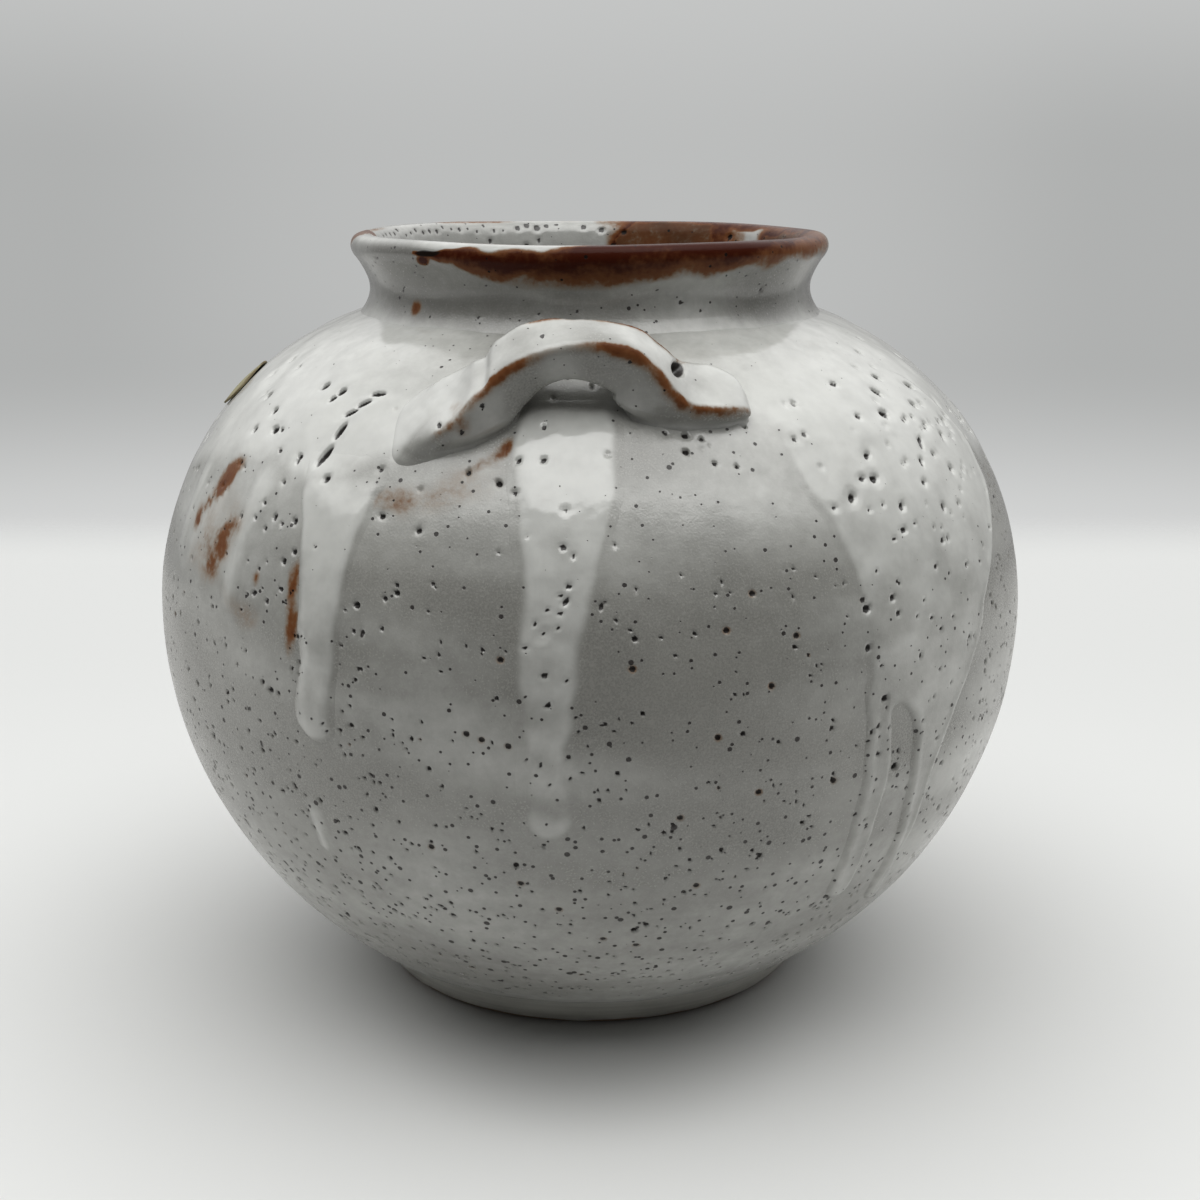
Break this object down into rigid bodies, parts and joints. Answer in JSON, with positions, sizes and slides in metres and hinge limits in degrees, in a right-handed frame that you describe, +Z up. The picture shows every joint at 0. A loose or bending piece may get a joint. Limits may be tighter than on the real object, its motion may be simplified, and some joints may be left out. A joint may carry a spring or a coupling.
{
  "type": "lugged moon jar",
  "caption": "Round wide-bellied stoneware storage jar with a short flared collar, a bevelled foot ring and strap lugs on the shoulder, under a run white glaze.",
  "frame": {"origin": "centre of the foot's standing face, on the jar's axis", "axes": "+Z up along the throwing axis, -Y towards the front lug, +X to the right seen from the front"},
  "size_m": [0.2, 0.2012, 0.1725],
  "materials": {
    "bare_foot": "thin satin grey glaze over brown stoneware, bare clay underneath",
    "speckled_glaze": "grey-white satin glaze with iron pinholes",
    "rim_glaze": "grey-white glaze breaking to rust brown on the lip",
    "lug_glaze": "glossy white glaze breaking to rust brown on the edges",
    "label_paper": "plain olive paper, unprinted",
    "run_glaze": "thick glossy white glaze"
  },
  "bodies": {
    "root": {"foot_ring": "bare_foot", "lower_bowl": "speckled_glaze", "upper_bowl": "speckled_glaze", "neck_collar": "rim_glaze", "front_lug": "lug_glaze", "rear_lug": "lug_glaze", "blank_label": "label_paper", "glaze_run_left": "run_glaze", "glaze_run_centre": "run_glaze", "glaze_sheet_right": "run_glaze"}
  },
  "joints": []
}
